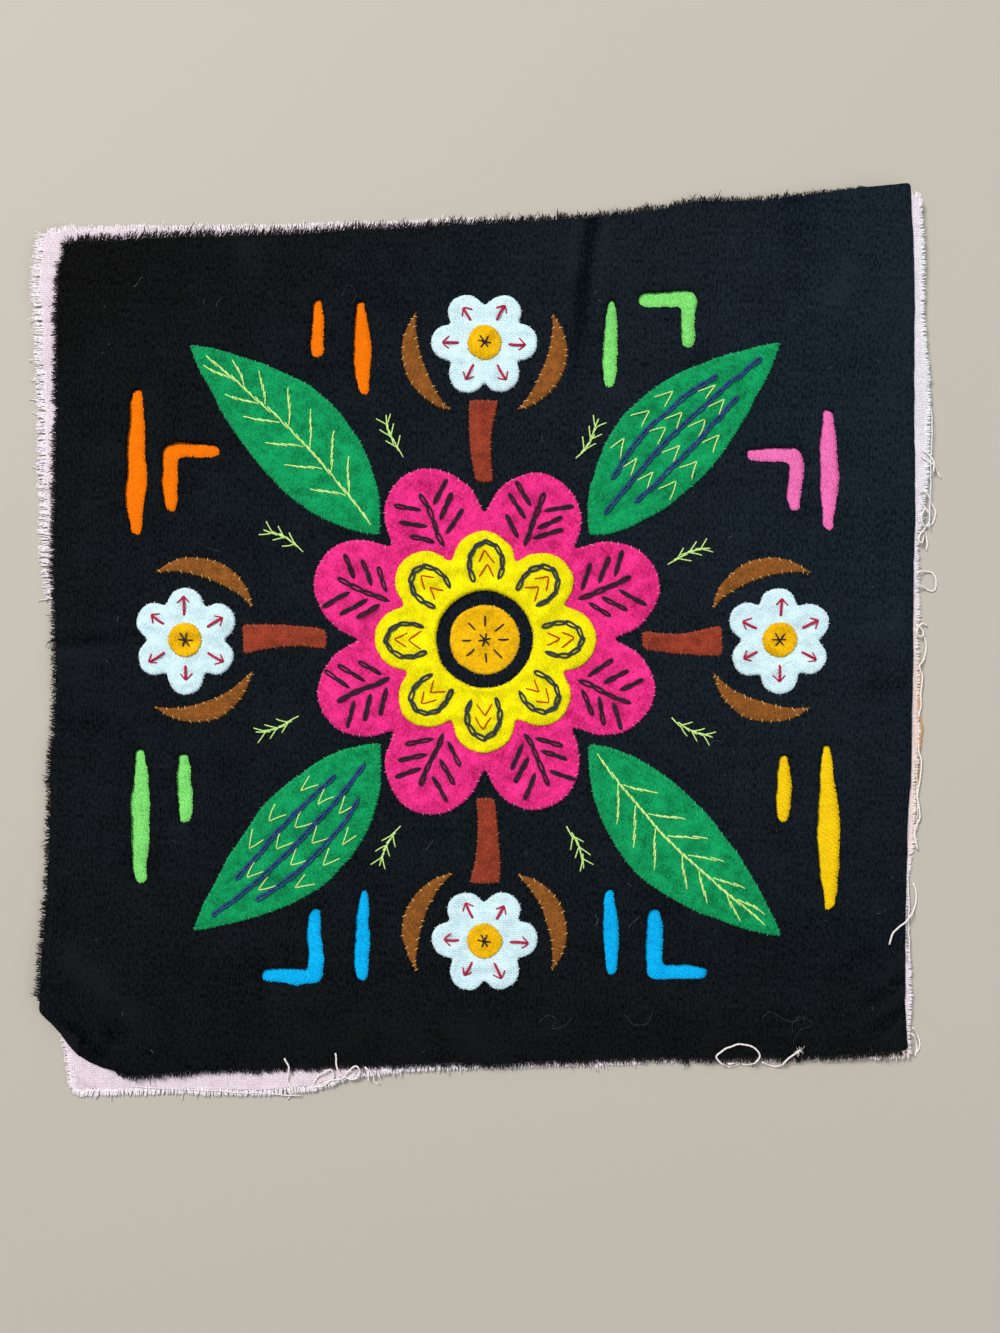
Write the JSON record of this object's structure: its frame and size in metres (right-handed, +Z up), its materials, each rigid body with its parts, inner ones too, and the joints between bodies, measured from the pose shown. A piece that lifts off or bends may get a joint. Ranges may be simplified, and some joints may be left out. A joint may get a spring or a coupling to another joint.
{
  "type": "mola panel",
  "caption": "Square hand-sewn cotton panel: black front with slits over coloured scraps, an appliqué flower design and a pale backing with frayed edges.",
  "frame": {"origin": "under the middle of the panel's box, on the surface that the backing lies on", "axes": "+Z up, out of the front; +Y towards the panel's top edge; +X to the right as the front is seen"},
  "size_m": [0.2436, 0.2468, 0.0062],
  "materials": {
    "black_cotton": "matte plain weave",
    "pale_pink_cotton": "matte plain weave",
    "hot_pink_cotton": "matte plain weave",
    "yellow_cotton": "matte plain weave",
    "gold_cotton": "matte twill weave",
    "green_cotton": "matte plain weave",
    "red_brown_cotton": "matte plain weave",
    "gold_brown_cotton": "matte plain weave",
    "white_cotton": "matte plain weave",
    "orange_cotton": "matte plain weave",
    "light_green_cotton": "matte plain weave",
    "blue_cotton": "matte plain weave",
    "light_pink_cotton": "matte plain weave"
  },
  "bodies": {
    "root": {"backing": "pale_pink_cotton", "front": "black_cotton", "scrap_orange_top": "orange_cotton", "scrap_orange_left": "orange_cotton", "scrap_green_top": "light_green_cotton", "scrap_pink_right": "light_pink_cotton", "scrap_green_left": "light_green_cotton", "scrap_blue_left": "blue_cotton", "scrap_blue_right": "blue_cotton", "scrap_gold_right": "gold_cotton", "rosette_pink": "hot_pink_cotton", "rosette_yellow": "yellow_cotton", "rosette_heart": "gold_cotton", "leaf_top_right": "green_cotton", "leaf_top_left": "green_cotton", "leaf_bottom_left": "green_cotton", "leaf_bottom_right": "green_cotton", "stem_top": "red_brown_cotton", "stem_left": "red_brown_cotton", "stem_bottom": "red_brown_cotton", "stem_right": "red_brown_cotton", "crescent_top_a": "gold_brown_cotton", "crescent_top_b": "gold_brown_cotton", "crescent_left_a": "gold_brown_cotton", "crescent_left_b": "gold_brown_cotton", "crescent_bottom_a": "gold_brown_cotton", "crescent_bottom_b": "gold_brown_cotton", "crescent_right_a": "gold_brown_cotton", "crescent_right_b": "gold_brown_cotton", "blossom_top": "white_cotton", "blossom_left": "white_cotton", "blossom_bottom": "white_cotton", "blossom_right": "white_cotton", "blossom_heart_top": "gold_cotton", "blossom_heart_left": "gold_cotton", "blossom_heart_bottom": "gold_cotton", "blossom_heart_right": "gold_cotton"}
  },
  "joints": []
}
